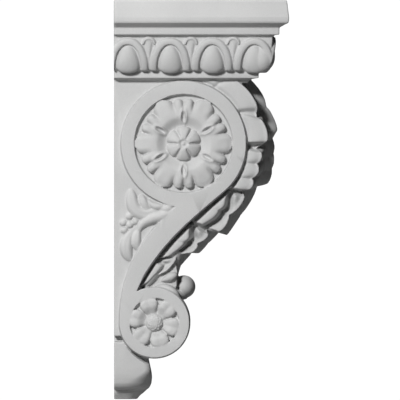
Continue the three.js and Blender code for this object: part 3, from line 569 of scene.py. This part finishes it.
def ring_tree():
    tree = bpy.data.node_groups.new("petals round a centre", "GeometryNodeTree")
    face = tree.interface
    face.new_socket("Geometry", in_out="INPUT", socket_type="NodeSocketGeometry")
    face.new_socket("Petal", in_out="INPUT", socket_type="NodeSocketObject")
    face.new_socket("Count", in_out="INPUT", socket_type="NodeSocketInt")
    face.new_socket("Centre", in_out="INPUT", socket_type="NodeSocketVector")
    face.new_socket("First angle", in_out="INPUT", socket_type="NodeSocketFloat")
    face.new_socket("Finish", in_out="INPUT", socket_type="NodeSocketMaterial")
    face.new_socket("Geometry", in_out="OUTPUT", socket_type="NodeSocketGeometry")
    nodes, links = tree.nodes, tree.links
    given, made = nodes.new("NodeGroupInput"), nodes.new("NodeGroupOutput")
    points = nodes.new("GeometryNodePoints")
    number = nodes.new("GeometryNodeInputIndex")
    part, angle, full = [nodes.new("ShaderNodeMath") for _ in range(3)]
    turn = nodes.new("ShaderNodeCombineXYZ")
    what = nodes.new("GeometryNodeObjectInfo")
    spread = nodes.new("GeometryNodeInstanceOnPoints")
    real, weld = nodes.new("GeometryNodeRealizeInstances"), nodes.new("GeometryNodeMergeByDistance")
    finish = nodes.new("GeometryNodeSetMaterial")
    part.operation, angle.operation, full.operation = "DIVIDE", "MULTIPLY_ADD", "MULTIPLY"
    full.inputs[1].default_value = 2 * math.pi
    weld.inputs["Distance"].default_value = 0.00002
    links.new(given.outputs["Count"], points.inputs["Count"])
    links.new(given.outputs["Centre"], points.inputs["Position"])
    links.new(number.outputs["Index"], part.inputs[0])
    links.new(given.outputs["Count"], part.inputs[1])
    links.new(part.outputs["Value"], full.inputs[0])
    links.new(full.outputs["Value"], angle.inputs[0])
    angle.inputs[1].default_value = 1.0
    links.new(given.outputs["First angle"], angle.inputs[2])
    links.new(angle.outputs["Value"], turn.inputs["X"])
    links.new(given.outputs["Petal"], what.inputs["Object"])
    links.new(points.outputs["Points"], spread.inputs["Points"])
    links.new(what.outputs["Geometry"], spread.inputs["Instance"])
    links.new(turn.outputs["Vector"], spread.inputs["Rotation"])
    links.new(spread.outputs["Instances"], real.inputs["Geometry"])
    links.new(real.outputs["Geometry"], weld.inputs["Geometry"])
    links.new(weld.outputs["Geometry"], finish.inputs["Geometry"])
    links.new(given.outputs["Finish"], finish.inputs["Material"])
    links.new(finish.outputs["Geometry"], made.inputs["Geometry"])
    return tree


# One sector of a round carving on a flank, floor millimetres from the centre line and drawn about the origin.
# Its two straight sides are left open, to meet the next sector.
def petal_sector(name, side, floor, pitch, outline_of, lift_of, shares, spokes):
    angles = np.linspace(-pitch / 2, pitch / 2, spokes)
    edge = outline_of(angles)
    radius = np.asarray(shares)[:, None] * edge[None, :]
    lift = lift_of(np.broadcast_to(angles, radius.shape), np.asarray(shares)[:, None], radius)
    radius = np.vstack([radius, edge[None, :], edge[None, :], radius[:1]])
    under = np.full((1, spokes), -3.0)
    lift = np.vstack([lift, np.maximum(lift[-1:] - 1.2, -2), under, under])
    a = np.radians(angles)[None, :]
    points = np.stack([side * (floor + lift), -radius * np.cos(a), radius * np.sin(a)], axis=-1) * mm
    rows, columns = radius.shape
    grid = np.arange(rows * columns).reshape(rows, columns)
    quads = np.stack([grid[:-1, :-1], grid[:-1, 1:], grid[1:, 1:], grid[1:, :-1]], axis=-1)
    faces = quads.reshape(-1, 4).tolist()
    flat = points.reshape(-1, 3)
    hub_up = flat[grid[0]].mean(axis=0) * [1, 0, 0]
    hub_under = flat[grid[-1]].mean(axis=0) * [1, 0, 0]
    top, low = len(flat), len(flat) + 1
    faces += [(int(after), int(before), top) for before, after in zip(grid[0, :-1], grid[0, 1:])]
    faces += [(int(before), int(after), low) for before, after in zip(grid[-1, :-1], grid[-1, 1:])]
    return mesh_object(name, np.vstack([flat, hub_up, hub_under]), faces)


round_centre = ring_tree()


def ring_of_petals(name, side, centre, floor, count, first, outline_of, lift_of, shares, spokes=49):
    petal = petal_sector(name + "_petal", side, floor, 360 / count, outline_of, lift_of, shares, spokes)
    middle = (0.0, -centre[0] * mm, (centre[1] - height / 2) * mm)
    whole = grow(name, round_centre, Petal=petal, Count=count, Centre=middle,
                 **{"First angle": -math.radians(first)}, Finish=cast_stone)
    bpy.data.objects.remove(petal)
    return outward(whole)


small_middle, small_half = (lobe_half + 30) / 2, (30 - lobe_half) / 2


def rosette_outline(angle):
    off = np.abs(angle)
    big_lobe = np.sqrt(np.maximum(0, 1 - (off / lobe_half) ** 2))
    little = np.sqrt(np.maximum(0, 1 - (np.abs(off - small_middle) / small_half) ** 2))
    return np.where(off < lobe_half, rosette_notch + (rosette_tip - rosette_notch) * big_lobe,
                    rosette_notch + (rosette_shoulder - rosette_notch) * little)


def rosette_lift(angle, share, radius):
    off = np.abs(angle)
    across = np.where(off < lobe_half, off / lobe_half, np.abs(off - small_middle) / small_half)
    cup = 3.0 + 8.2 * smooth(bud_radius, 40, radius) - 2.2 * smooth(52, rosette_tip, radius)
    groove = 6.0 * smooth(44, rosette_notch + 2, radius) * np.minimum(1, across) ** 3.2
    groove = groove + 1.0 * smooth(34, 48, radius) * np.minimum(1, across) ** 2
    dish = 1.6 * smooth(44, 56, radius) * np.exp(-((off / 7) ** 2))
    edge_out = np.hypot((radius - 38) / 5.8, np.radians(30 - off) * radius / 2.5)
    eye = 4.4 * np.exp(-(edge_out ** 4)) - 2.2 * np.exp(-(((edge_out - 1.75) / 0.55) ** 2))
    rounding = 1.6 * smooth(0.9, 1.0, share)
    return cup - groove - dish - eye - rounding


def bud_outline(angle):
    return bud_radius * (1 - 0.1 * np.abs(angle / 30) ** 4)


def bud_lift(angle, share, radius):
    across = np.abs(angle / 30)
    dome = bud_rise * np.sqrt(1 - 0.82 * share ** 2.2)
    fold = 7.0 * across ** 5 * smooth(0.15, 0.5, share)
    eye = 4.0 * (1 - smooth(0.12, 0.34, share))
    return dome - fold - eye + 2.2 * (1 - smooth(0.05, 0.14, share))


for side in (-1, 1):
    floor = scroll_face - big_recess
    carvings.append(ring_of_petals("rosette", side, big, floor, 6, 0, rosette_outline, rosette_lift,
                                   np.linspace(0.28, 1, 36), 61))
    carvings.append(ring_of_petals("bud", side, big, floor, 6, 30, bud_outline, bud_lift,
                                   np.linspace(0.04, 1, 24), 33))

# The flower in the small volute: six open petals round a boss of little knobs.
flower_tip, flower_notch, flower_boss, flower_first = 35.0, 21.0, 11.6, 47.0


def flower_outline(angle):
    across = np.abs(angle / 30)
    point = 1 + 0.05 * np.exp(-((angle / 7) ** 2))
    return (flower_notch + (flower_tip - flower_notch) * np.maximum(0, 1 - across ** 3.4) ** 0.6) * point


def flower_lift(angle, share, radius):
    across = np.abs(angle / 30)
    cup = 1.6 + 6.6 * smooth(flower_boss, 25, radius) - 0.6 * smooth(30, flower_tip, radius)
    fold = 6.5 * across ** 7 * smooth(flower_boss, 16, radius)
    fold = fold + 0.9 * np.exp(-((angle / 6) ** 2)) * smooth(14, 24, radius)
    veins = 0.5 * np.cos(np.radians(angle) * 60) * np.exp(-(((radius - 16) / 4) ** 2))
    return cup - fold + veins - 1.2 * smooth(0.92, 1, share)


def boss_lift(angle, share, radius):
    knobs = 1.3 * np.cos(np.radians(angle) * 8) * np.cos(radius * 1.5) * smooth(0.15, 0.4, share)
    return 9.0 * np.sqrt(1 - 0.8 * share ** 2.2) + knobs


for side in (-1, 1):
    floor = scroll_face - small_recess
    carvings.append(ring_of_petals("flower", side, small, floor, 6, flower_first, flower_outline, flower_lift,
                                   np.linspace(0.25, 1, 26), 37))
    carvings.append(ring_of_petals("boss", side, small, floor, 8, 10, lambda a: np.full_like(a, flower_boss),
                                   boss_lift, np.linspace(0.05, 1, 16), 13))

# The husk behind the stem: pointed leaves that fall from the volute, and a cluster of berries beside them.
husk_leaves = [  # line, half width, rise, share of the length where it is widest, and depth of its vein
    ([(23, 296), (24.7, 285), (26, 275), (31, 265), (42, 260), (53, 262), (68, 269)], 8.6, 7.0, 0.42, 0.12),
    ([(38, 288), (41, 278), (45, 270), (52, 265)], 5.8, 6.0, 0.45, 0.1),
    ([(46, 282), (53, 274), (62, 271), (74, 272)], 5.2, 7.5, 0.6, 0.0),
    ([(58, 266), (72, 268), (86, 269)], 7.2, 8.8, 0.62, 0.0),
    ([(86, 268), (76, 262), (66, 257), (54, 254), (43, 249), (36, 241), (33, 230)], 7.6, 9.4, 0.38, 0.0),
    ([(37, 243), (32, 231), (31, 221), (33, 209)], 6.4, 7.0, 0.6, 0.1),
    ([(30, 242), (20, 228), (17, 216), (18, 206), (23, 194)], 8.4, 7.0, 0.62, 0.12),
]
berries = [(21.5, 257), (13, 248), (30, 250), (22, 245), (14.5, 237.5)]
berry_radius = 4.7


def swell(share, widest):
    return np.sin(np.pi * share ** (math.log(0.5) / math.log(widest))) ** 0.6


for side in (-1, 1):
    on_flank = lambda a, b, lift, side=side: place(a, b, side * (half_body + lift))
    for line, half, rise, widest, vein in husk_leaves:
        carvings.append(lobe("husk_leaf", on_flank, line, lambda s: 0.5 + half * swell(s, widest),
                             lambda s: 0.3 + rise * swell(s, widest), vein=vein))
    for depth, up in berries:
        carvings.append(lobe("berry", on_flank, [(depth, up - berry_radius), (depth, up + berry_radius)],
                             lambda s: 0.3 + berry_radius * oval(s),
                             lambda s: 0.3 + 0.85 * berry_radius * oval(s), stations=14, spans=10))

# The acanthus leaf: it springs from under the cap, wraps the front and laps on to both flanks of the scroll,
# in six tiers of fingers that each stand out at the foot and step in to the next.
leaf_half, leaf_top_half = 49.5, 54.0
keel_half = 0.28  # the raised midrib's half width, as a share of the front's
keel_foot = 0.76  # the share of a row's rise at which the midrib starts
finger_groove, tier_groove, midrib_lift, sweep_back = 5.0, 13.0, 3.0, 20.0
leaf_step = 7.0
leaf_tiers = [  # margin end, front end, crest, foot, fingers, share of the crest on the flank, fold along it
    (0.26, 0.30, 39.5, 37.0, 2, 0.6, 0.0), (0.376, 0.37, 42.5, 35.0, 1, 0.6, 0.0),
    (0.54, 0.485, 41.0, 28.5, 3, 0.48, 0.0), (0.708, 0.655, 47.0, 36.5, 2, 0.74, 1.0),
    (0.884, 0.765, 39.0, 31.5, 2, 0.74, 1.0), (1.0, 0.85, 31.0, 31.0, 1, 0.6, 0.4)]
fold_depth, fold_width = 19.0, 0.075
corner_turn = 0.42
crease_width = 2.2  # mm, at the margin
gap_width = 6.0  # mm, of the slope on each side of a gap between two tiers
soft_fold = 0.25  # the first two tiers run together in a soft fold
arc = turned_point(big, big_radius, np.linspace(100, leave_angle, 400))
leaf_edge = np.vstack([arc, bezier(*stem_outer, np.linspace(0, 1, 400)[1:])])
edge_run = np.concatenate([[0], np.cumsum(np.hypot(*np.diff(leaf_edge, axis=0).T))])
leaf_run = edge_run[-1]
edge_way = np.gradient(leaf_edge, edge_run, axis=0)


def edge_at(share):
    s = np.clip(share, 0.002, 0.998) * leaf_run
    point = np.stack([np.interp(s, edge_run, leaf_edge[:, k]) for k in range(2)], axis=-1)
    way = np.stack([np.interp(s, edge_run, edge_way[:, k]) for k in range(2)], axis=-1)
    way /= np.linalg.norm(way, axis=-1, keepdims=True)
    return point, np.stack([-way[..., 1], way[..., 0]], axis=-1)


def leaf_rows():
    rows = []
    margin, front, proud = 0.02, 0.03, 33.0
    for k, (margin_end, front_end, crest, foot, fingers, cheek, fold) in enumerate(leaf_tiers):
        step = leaf_step / leaf_run if k else 0
        tier_run = (margin_end - margin) * leaf_run
        finger_run = tier_run / fingers
        for t in np.linspace(0, 1, 24 * fingers + 13):
            nearest = abs(fingers * t - round(fingers * t)) * finger_run
            start = (1 - smooth(0, gap_width, t * tier_run)) * (soft_fold if k == 1 else 1)
            end = (1 - smooth(0, gap_width, (1 - t) * tier_run)) * (soft_fold if k == 0 else 1)
            rows.append((max(start, end), mix(margin, margin_end, mix(0.03, 1, t)),
                         mix(front + step, front_end, t), mix(proud, crest, t), nearest,
                         abs(math.sin(math.pi * fingers * t)), cheek, fold, t))
        margin, front, proud = margin_end, front_end, foot
    return np.array(rows)


# A row's section: a flat cheek on each flank, scalloped by the fingers and narrower where a fold runs, and a
# front between the cheeks that is gabled and raised to a midrib.
def leaf_section(v, bulge, low, cheek_share, fold):
    cheek_rise = cheek_share + 0.12 * bulge ** 0.6
    front = np.clip(v / corner_turn, 0, 1)
    cheek = np.clip((v - corner_turn) / (1 - corner_turn), 0, 1)
    on_front = v < corner_turn
    across = np.where(on_front, 0.96 * front,
                      0.96 + 0.04 * np.sin(np.pi * cheek) - mix(0.05, 0.26, low) * smooth(0.76, 1, cheek))
    across = across * (1 - 0.14 * fold * smooth(0.55, 0.1, cheek))
    slope = mix(keel_foot, cheek_rise, np.clip((front - keel_half) / (1 - keel_half), 0, 1) ** 1.2)
    keel = 1 - (1 - keel_foot) * (front / keel_half) ** 1.2
    rise = np.where(on_front, np.where(front < keel_half, keel, slope), cheek_rise * (1 - cheek))
    flank = smooth(corner_turn - 0.1, corner_turn + 0.05, v)
    return across, rise, mix(0.35 * np.minimum(1, v / 0.1), 1.0, flank), mix(0.93, 0.12, flank)


def leaf_surface(rows, v):
    columns = [rows[:, i][:, None] for i in range(9)]
    ending, margin, front, proud, nearest, bulge, cheek_share, fold, t = columns
    v = v[None, :]
    side = np.sign(v)
    v = np.abs(v)
    low = smooth(0.38, 0.6, margin)
    across, rise, nx, nn = leaf_section(v, bulge, low, cheek_share, fold)
    back = sweep_back / leaf_run * np.maximum(0, 1 - v / corner_turn) ** 1.5 * (1 - margin)
    point, out = edge_at(mix(margin, front, rise) - back)
    flank = smooth(0.15, 0.5, v)
    open_crease = crease_width * mix(2.2, 1.0, smooth(corner_turn, 0.95, v))
    crease = np.exp(-((nearest / open_crease) ** 1.3)) * mix(1.0, 0.6, smooth(corner_turn, 0.95, v))
    # The creases between the fingers and the gaps between the tiers, then the fold along the flank.
    relief = -finger_groove * crease * mix(0.35, 1, flank) * (1 - 0.6 * fold) - tier_groove * ending * flank
    valley = 0.8 - 0.22 * smooth(0, 0.45, t) + 0.08 * smooth(0.55, 1, t)
    relief = relief - fold_depth * fold * np.exp(-(((v - valley) / fold_width) ** 2)) * (1 - ending)
    # The soft corner, the flute in the lower tiers' front, and the midrib with its own groove.
    relief = relief + 1.6 * np.exp(-(((v - corner_turn) / 0.06) ** 2))
    relief = relief - 2.2 * low * np.exp(-(((v - 0.27) / 0.035) ** 2)) * (1 - ending)
    relief = relief + midrib_lift * np.exp(-((v / 0.06) ** 2)) - 3 * np.exp(-(((v - 0.12) / 0.03) ** 2))
    stand = proud * rise + relief * nn
    x = side * (mix(leaf_top_half, leaf_half, low) * across + relief * nx)
    return place(point[..., 0] + out[..., 0] * stand, point[..., 1] + out[..., 1] * stand, x)


rows = leaf_rows()
fan = np.linspace(-1, 1, 111)
skin = leaf_surface(rows, fan)
root, root_out = edge_at(rows[:, 1])
under = root - root_out * 12
floor_ring = [place(under[:, 0], under[:, 1], side * leaf_half * 0.8)[:, None] for side in (1, -1)]
leaf = loft("leaf", np.concatenate([skin, *floor_ring], axis=1))

# The leaf's tip: a tongue that runs down from the last tier and rolls over into a curl on the small volute.
curl_radius, curl_half = 16.0, 30.0
seat = turned_point(small, small_radius, 50)
roll_at = seat + np.array([9.0, 11.0])
tip_point, tip_out = edge_at(leaf_tiers[-1][1] - 0.04)
tongue_line = [tuple(tip_point + tip_out * 12), tuple(roll_at + [-24, 18]), tuple(roll_at + [-20, -2])]


def tongue():
    shares = np.linspace(0, 1, 26)
    at, way = spline_at(tongue_line, shares)
    turn = 2 * np.pi * np.arange(64) / 64
    c, s = np.cos(turn), np.sin(turn)
    half = mix(leaf_half * 0.86, curl_half, shares)[:, None]
    x = half * (np.sign(c) * np.abs(c) ** 0.6)[None, :]
    off = curl_radius * (np.sign(s) * np.abs(s) ** 0.8)[None, :]
    return loft("tongue", place(at[:, :1] - way[:, 1:] * off, at[:, 1:] + way[:, :1] * off, x))


web_half = 38.0
web = flank_prism("web", [
    (39, 150), tuple(bezier(*stem_outer, 0.9) - [4, 4]), tuple(bezier(*stem_outer, 0.7) - [4, 4]), (86, 195),
    (89, 178), (88, 160), (80, 146), (56, 138)], web_half)
carvings += [tongue(), web, ball("curl", 0.0, roll_at, (curl_half, curl_radius, curl_radius)),
             ball("heel", 0.0, roll_at + [-14, -4], (curl_half + 4, 22, 7), -35)]
web_folds = [  # line, half width, rise and share of the length where it is widest
    ([(64, 189), (55, 175), (43, 157)], 6.2, 9.0, 0.4), ([(66, 166), (77, 171), (89, 176)], 6.0, 9.0, 0.6),
    ([(58, 159), (72, 158), (83, 152), (92, 142)], 4.6, 10.0, 0.6)]
for side in (-1, 1):
    on_web = lambda a, b, lift, side=side: place(a, b, side * (web_half + lift))
    for line, half, rise, widest in web_folds:
        carvings.append(lobe("web_fold", on_web, line, lambda s: 0.5 + half * swell(s, widest),
                             lambda s: 0.3 + rise * swell(s, widest) ** 0.6))

# The drop under the small volute: a plain block that swells forwards, then draws in past a groove to its
# foot.
drop_height, drop_depth, drop_half = 82.0, 52.5, 48.5
gap_centre, gap_radius = np.array([78.4, 117.7]), 77.2  # the hollow between the volute and the drop
gap_half = 37.0  # how far its floor is from the centre line
drop_sections = [  # share of height, of half width and of depth
    (1.3, 0.76, 0.7), (1.0, 0.76, 0.76), (0.985, 0.985, 0.79), (0.97, 1, 0.8), (0.76, 1, 0.9),
    (0.57, 1, 0.96), (0.45, 0.99, 1.0), (0.37, 0.97, 1.015), (0.28, 0.93, 1.0), (0.235, 0.87, 0.975),
    (0.2, 0.8, 0.945), (0.19, 0.64, 0.93), (0.165, 0.55, 0.885), (0.14, 0.54, 0.84), (0.115, 0.52, 0.8),
    (0.06, 0.44, 0.69), (0.02, 0.37, 0.64), (0.0, 0.34, 0.62)]


def drop():
    fine = np.linspace(0, len(drop_sections) - 1, 70)
    knots = np.arange(len(drop_sections))
    table = np.array(drop_sections)
    quarter_turn = np.linspace(0, np.pi / 2, 12)
    rings = []
    for f in fine:
        up, half, out = [float(np.interp(f, knots, table[:, k])) for k in range(3)]
        x, depth = drop_half * half, drop_depth * out
        corner = min(0.9 * x, float(mix(36.0, 8.0, smooth(0.25, 0.54, up))))
        curve = [(x - corner * (1 - math.cos(a)), depth - corner * (1 - math.sin(a))) for a in quarter_turn]
        plan = [(-x, -wall_bite)] + [(-across, forward) for across, forward in curve]
        plan += curve[::-1] + [(x, -wall_bite)]
        rings.append([place(forward, up * drop_height, across) for across, forward in plan])
    hollow = sinkings(gap_centre, gap_radius, scroll_face - gap_half, 150)
    return merge(loft("drop", rings), hollow, "DIFFERENCE")


# The casting: every form above becomes one closed skin, cut flat where it meets the wall. The mould's soft
# arrises come from a fine remesh, and the flat faces are thinned to few triangles.
behind = mesh_object("behind_wall", [
    (x, y, z) for z in (-0.4, 0.4) for x, y in ((-0.2, 0.0), (0.2, 0.0), (0.2, 0.1), (-0.2, 0.1))],
    [(0, 3, 2, 1), (4, 5, 6, 7), (0, 1, 5, 4), (1, 2, 6, 5), (2, 3, 7, 6), (3, 0, 4, 7)])
outward(behind)
casting = merge(cap, [scroll, panel, leaf, drop(), *carvings])
casting = merge(casting, [behind], "DIFFERENCE")
casting.name = "corbel_casting"

soften = casting.modifiers.new("soften", "REMESH")
soften.mode = "VOXEL"
soften.voxel_size = 0.00095
soften.adaptivity = 0.0
relax = casting.modifiers.new("relax", "SMOOTH")
relax.factor = 0.5
relax.iterations = 1
thin = casting.modifiers.new("thin", "DECIMATE")
thin.ratio = 0.155
bpy.context.view_layer.update()
shape = bpy.data.meshes.new_from_object(casting.evaluated_get(bpy.context.evaluated_depsgraph_get()))
casting.modifiers.clear()
casting.data = shape
casting.data.name = "corbel_casting"

# Cast stone: a pale, matt, nearly neutral grey with a fine sandy grain, faint clouding and pinholes left by
# air in the mould.
cast_stone.use_nodes = True
stone_nodes, stone_links = cast_stone.node_tree.nodes, cast_stone.node_tree.links
stone = stone_nodes["Principled BSDF"]
stone.inputs["Roughness"].default_value = 0.86
stone.inputs["Specular IOR Level"].default_value = 0.25
stone_place = stone_nodes.new("ShaderNodeTexCoord")


def stone_noise(scale, detail, roughness):
    noise = stone_nodes.new("ShaderNodeTexNoise")
    noise.inputs["Scale"].default_value = scale
    noise.inputs["Detail"].default_value = detail
    noise.inputs["Roughness"].default_value = roughness
    stone_links.new(stone_place.outputs["Object"], noise.inputs["Vector"])
    return noise


def stone_ramp(source, low, high, low_colour, high_colour):
    ramp = stone_nodes.new("ShaderNodeValToRGB")
    ramp.color_ramp.elements[0].position, ramp.color_ramp.elements[1].position = low, high
    ramp.color_ramp.elements[0].color, ramp.color_ramp.elements[1].color = low_colour, high_colour
    stone_links.new(source, ramp.inputs["Fac"])
    return ramp


clouding = stone_noise(11.0, 4.0, 0.55)
grain = stone_noise(900.0, 3.0, 0.6)
cloud_colour = stone_ramp(clouding.outputs["Fac"], 0.3, 0.7, (0.50, 0.502, 0.5, 1), (0.55, 0.55, 0.547, 1))
grain_shade = stone_ramp(grain.outputs["Fac"], 0.35, 0.65, (0.93, 0.93, 0.93, 1), (1, 1, 1, 1))
blend = stone_nodes.new("ShaderNodeMix")
blend.data_type = "RGBA"
blend.blend_type = "MULTIPLY"
blend.inputs["Factor"].default_value = 1.0
stone_links.new(cloud_colour.outputs["Color"], blend.inputs["A"])
stone_links.new(grain_shade.outputs["Color"], blend.inputs["B"])
stone_links.new(blend.outputs["Result"], stone.inputs["Base Color"])
pits = stone_nodes.new("ShaderNodeTexVoronoi")
pits.inputs["Scale"].default_value = 130.0
stone_links.new(stone_place.outputs["Object"], pits.inputs["Vector"])
pit_depth = stone_ramp(pits.outputs["Distance"], 0.04, 0.12, (0, 0, 0, 1), (1, 1, 1, 1))
grain_bump = stone_nodes.new("ShaderNodeBump")
grain_bump.inputs["Strength"].default_value = 0.12
grain_bump.inputs["Distance"].default_value = 0.0006
pit_bump = stone_nodes.new("ShaderNodeBump")
pit_bump.inputs["Strength"].default_value = 0.15
pit_bump.inputs["Distance"].default_value = 0.0005
stone_links.new(grain.outputs["Fac"], grain_bump.inputs["Height"])
stone_links.new(pit_depth.outputs["Color"], pit_bump.inputs["Height"])
stone_links.new(grain_bump.outputs["Normal"], pit_bump.inputs["Normal"])
stone_links.new(pit_bump.outputs["Normal"], stone.inputs["Normal"])

casting.data.materials.clear()
casting.data.materials.append(cast_stone)
for face in casting.data.polygons:
    face.material_index = 0
casting.data.shade_smooth()
casting.data.set_sharp_from_angle(angle=math.radians(38))
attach(casting, "root")
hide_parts("corbel")

bpy.context.view_layer.update()
